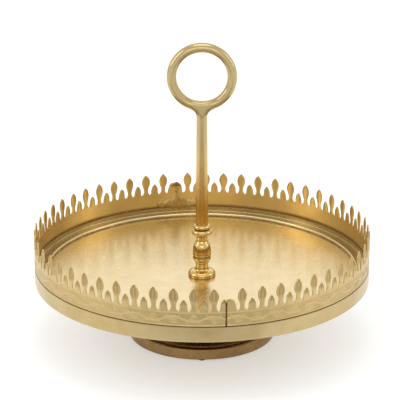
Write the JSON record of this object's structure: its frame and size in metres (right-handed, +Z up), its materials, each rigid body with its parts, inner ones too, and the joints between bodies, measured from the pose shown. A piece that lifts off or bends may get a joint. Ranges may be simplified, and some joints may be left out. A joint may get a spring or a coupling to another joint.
{
  "type": "cake stand",
  "caption": "Round gold metal cake stand: shallow tray with a leaf-finial gallery round its rim, low trumpet foot, and a central turned column with a finger-ring handle that unscrews.",
  "frame": {"origin": "on the table, under the middle of the foot", "axes": "+Z up the column, front is -Y, +X to the right seen from the front; the handle's ring lies in the XZ plane"},
  "size_m": [0.3048, 0.3048, 0.2762],
  "materials": {
    "tray_gold": "spun and polished, softly worn",
    "gallery_gold": "cast, satin",
    "handle_gold": "cast and linished, satin",
    "baluster_gold": "turned, polished",
    "foot_gold": "turned, darker and softly polished",
    "braze_fill": "rough, as run",
    "zinc_steel": "zinc plated",
    "felt": "pressed felt"
  },
  "bodies": {
    "stand": {"tray_pan": "tray_gold", "gallery_right": "gallery_gold", "gallery_left": "gallery_gold", "back_seam_braze": "braze_fill", "front_seam_solder": "braze_fill", "threaded_stud": "zinc_steel", "flat_washer": "zinc_steel", "spring_washer": "zinc_steel", "clamp_nut": "zinc_steel", "foot": "foot_gold", "felt_pads": "felt"},
    "column": {"baluster": "baluster_gold"},
    "handle": {"ring_handle": "handle_gold"}
  },
  "joints": [
    {"name": "handle_turn", "type": "hinge", "parent": "stand", "child": "column", "pos_m": [0, 0, 0.1064], "axis": [0, 0, 1], "range_deg": [0, 4410]},
    {"name": "handle_rise", "type": "slide", "parent": "column", "child": "handle", "axis": [0, 0, 1], "range_m": [0, 0.01225]}
  ],
  "couplings": [
    {"joint": "handle_rise", "follows": "handle_turn", "m_per_rad": 0.00015915}
  ]
}
